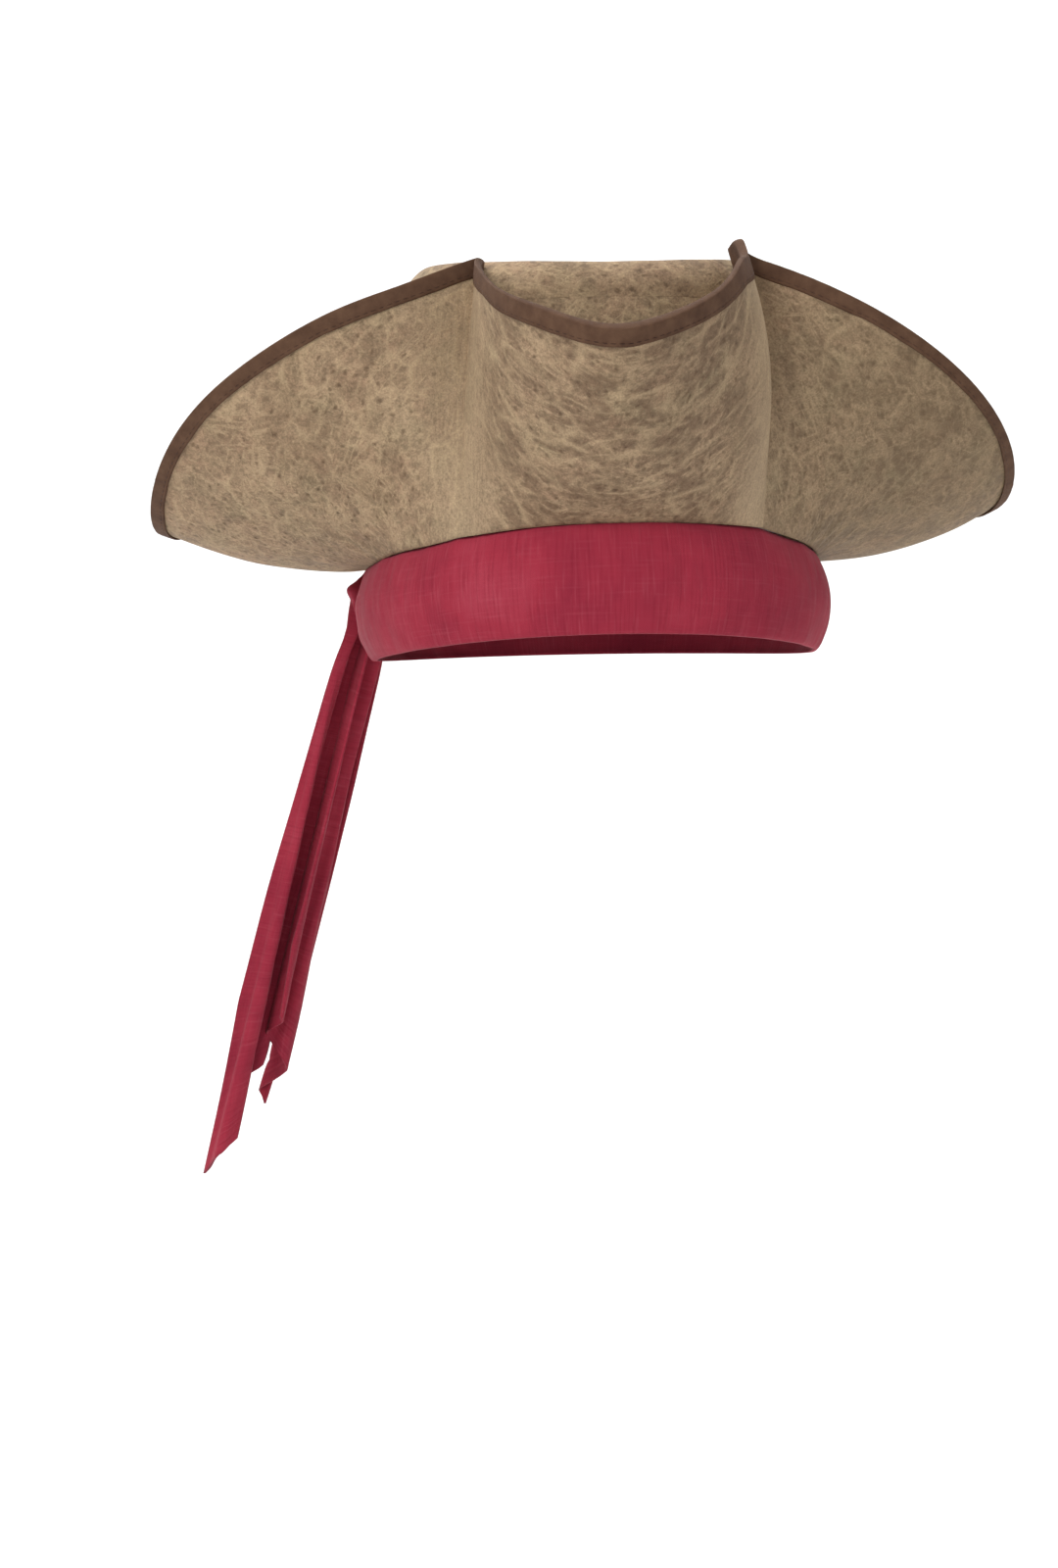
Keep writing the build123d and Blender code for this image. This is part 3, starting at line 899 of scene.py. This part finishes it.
def cap_profile(inset, count):
    """Shares of the oval and heights from the shoulder in to the middle of the crown's tip."""
    rounding = shoulder_rounding - inset
    base = shoulder_height - cap_overlap
    top = crown_top - inset
    angle = np.linspace(0, math.pi / 2, count)
    edge_in = inset + rounding * (1 - np.cos(angle))
    edge_up = top - rounding + rounding * np.sin(angle)
    flat = np.linspace(0, 1, count)[1:]
    inner_in = edge_in[-1] + (shoulder_half_width - edge_in[-1]) * flat
    sag = 0.3 * MM * np.sin(flat * math.pi / 2)
    inward = np.concatenate([[inset, inset], edge_in, inner_in])
    heights = np.concatenate([[base, base + edge_row], edge_up, top - sag])
    return inward, heights


def cap_surface(azimuth, inset, count, dents):
    """Points of the crown's tip from its foot to its middle; dents adds the soft, worn unevenness."""
    inward, heights = cap_profile(inset, count)
    share = 1 - inward / shoulder_half_width
    half_width = shoulder_half_width * share[None, :]
    half_depth = np.maximum((shoulder_half_depth - inward)[None, :], 0)
    middle = shoulder_half_depth - shoulder_half_width
    fade = np.clip(inward / shoulder_half_width, 0, 1)[None, :]
    half_depth = np.maximum(half_depth - middle * fade ** 3, 1e-5)
    half_width = np.maximum(half_width, 1e-5)
    square = 1 + crown_squareness * np.sin(np.radians(2 * azimuth)) ** 2
    radius = oval_radius(azimuth, half_width, half_depth) * square
    points = at(azimuth, radius, heights[None, :] + 0 * radius)
    if dents:
        lift = 0.8 * MM * noise(points[..., 0] * 28, points[..., 1] * 28, 4.4)
        lift += 0.25 * MM * noise(points[..., 0] * 90, points[..., 1] * 90, 8.4)
        points[..., 2] += lift * np.clip(fade * 6, 0, 1)
        ends = np.abs(points[..., 0]) / shoulder_half_width
        left_end = np.clip(-points[..., 0] / shoulder_half_width, 0, 1)
        rise = 1.0 + 4.0 * ends ** 2 + 0.8 * left_end ** 2
        points[..., 2] += rise * MM * np.clip(fade * 10, 0, 1)
    return points


def crown_tip():
    """Domed top of the crown, soft and a little sunk in the middle."""
    azimuth = even_round(360)[:, None]
    outer = cap_surface(azimuth, -0.10 * MM, 18, True)
    inner = cap_surface(azimuth, leather_thickness, 18, True)
    obj = loop_shell("crown_tip_leather", between(outer, inner), leather_material)
    return piece(obj, "hat", "leather_cloth", "crown_tip")


# ---------------------------------------------------------------- headscarf band

def scarf_edges(azimuth):
    """Heights of the band's top and bottom edges."""
    start = brim_line(azimuth)[1]
    under_brim = np.maximum(0, brim_thickness * np.cos(np.radians(start)))
    top = seam_height(azimuth) - seam_sag(azimuth) - under_brim + 0.1 * MM
    return top, scarf_bottom + scarf_arch * np.cos(np.radians(azimuth)) ** 2


def scarf_face(azimuth, share, inset):
    """Points on the band's outer face, or inset from it; share runs from top to bottom."""
    top, bottom = scarf_edges(azimuth)
    upper = oval_radius(azimuth, seam_half_width, seam_half_depth) + scarf_thickness + scarf_top_ease
    lower = oval_radius(azimuth, scarf_bottom_half_width, scarf_bottom_half_depth) + scarf_thickness
    radius = upper + (lower - upper) * share + scarf_fullness * np.sin(math.pi * share)
    height = top + (bottom - top) * share
    turn = np.radians(azimuth)
    ripple = 0.5 * MM * noise(turn * 9, share * 2.2, 2.9) + 0.18 * MM * noise(turn * 30, share * 4, 12.2)
    tuck = -0.8 * MM * bump(azimuth, 14, 1.6) * bump(share, 0.42, 0.22)
    gather = bump(azimuth, knot_azimuth, 26)
    folds = 1.1 * MM * gather * np.sin(share * 17 + turn * 3)
    edge = -0.9 * MM * (np.exp(-share / 0.035) + np.exp(-(1 - share) / 0.03))
    return at(azimuth, radius + ripple + tuck + folds + edge - inset, height)


def bandana_band():
    """Folded scarf round the head, as one closed shell with soft ripples and a knife-soft hem."""
    azimuth = even_round(720)[:, None]
    share = np.linspace(0, 1, 40)[None, :]
    outer = scarf_face(azimuth, share, 0)
    inner = scarf_face(azimuth, share, scarf_thickness - layer_gap)
    obj = loop_shell("bandana_band_cloth", between(outer, inner), scarf_material)
    return piece(obj, "hat", "scarf", "bandana_band")


# ---------------------------------------------------------------- knot and tails

hinge = Vector(frame["record"]["behaviour"]["joints"][0]["pos_m"])
outward = np.array([math.sin(math.radians(knot_azimuth)), -math.cos(math.radians(knot_azimuth)), 0.0])
forward_along = np.array([-outward[1], outward[0], 0.0])
forward_along *= -np.sign(forward_along[1])
lean = math.radians(tail_lean)
tail_down = outward * math.sin(lean) - np.array([0, 0, math.cos(lean)])
tail_face = np.cross(forward_along, tail_down)
tail_face *= np.sign(tail_face @ outward)


def settle(points, pinned_rows, pull, frames):
    """Cloth simulation of a grid of points hung from its first rows; gives the points at rest."""
    rows, columns = points.shape[:2]
    obj = mesh_object("hanging_cloth", points, grid_faces(rows, columns), scarf_material)
    group = obj.vertex_groups.new(name="pinned")
    group.add(list(range(pinned_rows * columns)), 1.0, "ADD")
    cloth = obj.modifiers.new("Cloth", "CLOTH")
    settings = {"quality": 10, "mass": 0.05, "air_damping": 2.0, "tension_stiffness": 25,
                "compression_stiffness": 25, "shear_stiffness": 12, "bending_stiffness": 0.15,
                "vertex_group_mass": "pinned"}
    for name, value in settings.items():
        setattr(cloth.settings, name, value)
    cloth.point_cache.frame_start = 1
    cloth.point_cache.frame_end = frames
    scene = bpy.context.scene
    gravity = tuple(scene.gravity)
    scene.gravity = pull
    for step in range(1, frames + 1):
        scene.frame_set(step)
    settled = obj.evaluated_get(bpy.context.evaluated_depsgraph_get())
    result = np.array([vertex.co[:] for vertex in settled.data.vertices]).reshape(points.shape)
    bpy.data.objects.remove(obj)
    scene.frame_set(1)
    scene.gravity = gravity
    return result


def tail_points(side, length):
    """Middle surface of a tail: drawn out of the knot, fanned out below, with a slanting end."""
    down = np.linspace(0, 1, 96)[:, None]
    across = np.linspace(-1, 1, 31)[None, :]
    run = length * down
    width = tail_root_width + (tail_foot_width - tail_root_width) * np.clip(down / 0.7, 0, 1) ** 0.75
    drift = (-0.003 + 0.019 * down) if side > 0 else (-0.009 - 0.006 * down)
    slant = 1 - 0.10 * (1 - side * across) * np.clip((down - 0.6) / 0.4, 0, 1)
    pleats = 0.0036 * np.exp(-down / 0.22) + 0.0013
    fold = pleats * np.sin(across * 5.2 + side + 1.2 * down)
    fold = fold + 0.0014 * noise(across * 1.6 + 4, down * 6, 2.0 + side)
    layer = 0.0030 * side + 0.0015 * np.sin(down * 4)
    turned = np.clip(run / tail_bend, 0, 1)
    out = 0.010 * turned ** 0.5 - 0.007
    rise = (tail_root_rise + 0.003 * side) * (1 - turned ** 2)
    drop = np.maximum(run - tail_bend, 0) * slant
    sideways = drift + across * width / 2
    return (np.array(hinge) + sideways[..., None] * forward_along + (out * (1 - down))[..., None] * outward
            + rise[..., None] * np.array([0, 0, 1.0]) + drop[..., None] * tail_down
            + (fold + layer)[..., None] * tail_face)


def thick_sheet(name, points, thickness, material):
    """Closed shell round a grid of points: a sheet with soft, slightly rolled edges."""
    lengthwise = np.gradient(points, axis=0)
    crosswise = np.gradient(points, axis=1)
    normals = np.cross(lengthwise, crosswise)
    normals /= np.linalg.norm(normals, axis=-1, keepdims=True)
    across = np.linspace(-1, 1, points.shape[1])[None, :, None]
    half = thickness / 2 * (1 + 0.5 * np.exp(-(1 - np.abs(across)) / 0.05))
    sections = between(points + normals * half, points - normals * half)
    return loop_shell(name, sections, material, closed=False)


def bandana_tail(which, side):
    """A tail draped by simulation: pinned where it leaves the knot, and pulled along its lean."""
    points = tail_points(side, tail_length[which])
    points = settle(points, pinned_rows=9, pull=tuple(tail_down * 9.81), frames=24)
    obj = thick_sheet(f"bandana_tail_{which}_cloth", points, tail_thickness, scarf_material)
    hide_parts(f"bandana_tail_{which}")
    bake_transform(obj)
    return obj


def bandana_knot():
    """Flattened knot with wrapped folds, drawn in at its waist by the loop that crosses it."""
    centre = (np.array(knot_low) + np.array(knot_high)) / 2 - knot_inset * outward
    turn = np.linspace(0, math.tau, 97)[:-1][None, :]
    level = np.linspace(0.04, math.pi - 0.04, 60)[:, None]
    wraps = 0.07 * np.sin(5 * level + 1.3 * np.sin(turn)) + 0.05 * np.sin(3 * turn + 4 * level)
    creases = -0.10 * np.abs(np.sin(2.5 * turn + 2.2 * level)) ** 8
    size = 0.93 + wraps + creases + 0.04 * noise(turn * 2, level * 3, 3.0)
    waist = 1 - 0.16 * bump(level, math.pi / 2, 0.35)
    out = knot_radii[0] * size * np.sin(level) * np.cos(turn) * waist
    side = knot_radii[1] * size * np.sin(level) * np.sin(turn)
    up = knot_radii[2] * size * np.cos(level) + 0 * turn
    points = (centre + out[..., None] * outward + side[..., None] * forward_along
              + up[..., None] * np.array([0, 0, 1.0]))
    obj = loop_shell("bandana_knot_cloth", points, scarf_material, closed=False)
    return piece(obj, "hat", "scarf", "bandana_knot")


# ---------------------------------------------------------------- inside of the hat

round_inside = even_round(360)


def wall_strip(name, bottom, top, inset, thickness, material, slot, node, ribs=0.0):
    """Strip of cloth round the inside of the crown, between two heights at each azimuth."""
    azimuth = round_inside[:, None]
    share = np.linspace(0, 1, 24)[None, :]
    level = bottom[:, None] + (top - bottom)[:, None] * share
    ripple = ribs * noise(np.radians(azimuth) * 12, share * 2, 6.1)
    outer = at(azimuth, crown_radius(azimuth, level, inset - ripple), level)
    inner = at(azimuth, crown_radius(azimuth, level, inset + thickness - ripple), level)
    return piece(loop_shell(name, between(outer, inner), material), "hat", slot, node)


def sweatband():
    """Ribbon that goes round the head, from just below the seam up the inside of the crown."""
    bottom = seam_height(round_inside) - 2.2 * MM
    return wall_strip("sweatband_ribbon", bottom, bottom + sweatband_height, sweatband_inset,
                      ribbon_thickness, ribbon_material, "sweatband", "sweatband", 0.2 * MM)


def wall_lining():
    bottom = seam_height(round_inside) + 2.0 * MM
    top = shoulder_height - 4.0 * MM + 0 * round_inside
    return wall_strip("crown_wall_lining_cloth", bottom, top, lining_inset, lining_thickness,
                      lining_material, "lining", "crown_wall_lining")


def tip_lining():
    azimuth = even_round(240)[:, None]
    outer = cap_surface(azimuth, lining_inset, 14, False)
    inner = cap_surface(azimuth, lining_inset + lining_thickness, 14, False)
    obj = loop_shell("crown_tip_lining_cloth", between(outer, inner), lining_material)
    return piece(obj, "hat", "lining", "crown_tip_lining")


# ---------------------------------------------------------------- studio

def studio():
    """Pale floor that curves up into a pale backdrop, and soft lights."""
    floor_level = -0.95
    floor_reach = 18.0
    wall_distance = 3.4
    wall_height = 6.0
    curve = 1.2
    line = [(-floor_reach, floor_level)]
    for angle in np.linspace(0, math.pi / 2, 13):
        y = wall_distance - curve * (1 - math.sin(angle))
        line.append((y, floor_level + curve * (1 - math.cos(angle))))
    line.append((wall_distance, wall_height))
    vertices = []
    for y, z in line:
        vertices += [(-floor_reach, y, z), (floor_reach, y, z)]
    faces = [[2 * i, 2 * i + 1, 2 * i + 3, 2 * i + 2] for i in range(len(line) - 1)]
    backdrop = mesh_object("studio_backdrop", vertices, faces, studio_paper())
    studio_lights()


def studio_paper():
    m = Nodes("studio_paper")
    paper = m.noise(m.coordinates(), 3, 2)
    return m.finish(m.ramp(paper, [(0.3, 0.88), (0.7, 0.92)]), 0.9)


def studio_lights():
    """White surround, a key light high on the viewer's left, and weaker fill, back and paper lights."""
    world = bpy.data.worlds.new("studio")
    bpy.context.scene.world = world
    world.use_nodes = True
    world.node_tree.nodes["Background"].inputs[0].default_value = (1, 1, 1, 1)
    world.node_tree.nodes["Background"].inputs[1].default_value = 0.52
    area_light("key", (-1.7, -2.3, 1.5), 1.6, 61)
    area_light("fill", (2.0, -2.2, 0.6), 2.0, 10)
    area_light("back_left", (-1.5, 1.6, 1.6), 1.5, 20)
    area_light("paper_light", (0.0, 0.9, 2.6), 3.0, 90, aim=(0, 3.2, 0.3))


def area_light(name, place, size, power, aim=(0, 0, 0.03)):
    light = bpy.data.lights.new(name, "AREA")
    light.size = size
    light.energy = power
    obj = add_object(name, light)
    obj.location = place
    obj.rotation_mode = "QUATERNION"
    obj.rotation_quaternion = (Vector(aim) - Vector(place)).to_track_quat("-Z", "Y")


def camera():
    """Camera a little below and to the wearer's right of the hat, as the photograph has it."""
    distance = 2.5
    side, below, roll = math.radians(5.2), math.radians(3.2), math.radians(1.3)
    image_height = 0.6416        # height of the picture at the hat's distance
    hat_right, hat_up = 0.0257, 0.099   # where the hat's origin is from the picture's middle
    forward = Vector((math.sin(side) * math.cos(below), math.cos(side) * math.cos(below), math.sin(below)))
    right = forward.cross(Vector((0, 0, 1))).normalized()
    up = right.cross(forward)
    turned_right = right * math.cos(roll) - up * math.sin(roll)
    turned_up = up * math.cos(roll) + right * math.sin(roll)
    place = -forward * distance
    aim = (forward * distance - turned_right * hat_right - turned_up * hat_up).normalized()
    final_right = aim.cross(turned_up).normalized()
    final_up = final_right.cross(aim)
    data = bpy.data.cameras.new("camera")
    data.sensor_width = 36
    data.lens = 36 * distance / image_height
    obj = add_object("camera", data)
    turn = Matrix((final_right, final_up, -aim)).transposed()
    obj.matrix_world = Matrix.Translation(place) @ turn.to_4x4()
    bpy.context.scene.camera = obj


# ---------------------------------------------------------------- everything in place

def paint_kept_nodes():
    """CAD nodes that stay get their procedural materials."""
    kept = {"crown_tip_foam": felt_material, "crown_wall_foam": felt_material,
            "brim_tack_left": thread_material, "brim_tack_right": thread_material,
            "brim_tack_back": thread_material, "crown_seam_tape": tape_material,
            "head_seam_tape": tape_material, "care_label": label_material}
    for name, material in kept.items():
        obj = frame["nodes"][name]
        obj.data.materials.clear()
        obj.data.materials.append(material)


brim_layer("brim_under_leather", (brim_thickness - leather_thickness, brim_thickness), "brim_under_layer",
           "leather_cloth", leather_material, wrinkles=(0.0, 1.0))
brim_layer("brim_stiffener_felt", (felt_inset, felt_inset + felt_thickness), "brim_stiffener",
           "foam", felt_material)
brim_layer("brim_top_leather", (0.0, leather_thickness), "brim_top_layer",
           "leather_cloth", leather_material, wrinkles=(-0.6, 0.0))
brim_binding()
binding_stitches("binding_stitches_outer", 1)
binding_stitches("binding_stitches_inner", -1)
crown_wall()
crown_tip()
sweatband()
wall_lining()
tip_lining()
bandana_band()
bandana_knot()
bandana_tail("front", 1)
bandana_tail("back", -1)
paint_kept_nodes()
studio()
camera()

bpy.context.scene.view_settings.view_transform = "Standard"
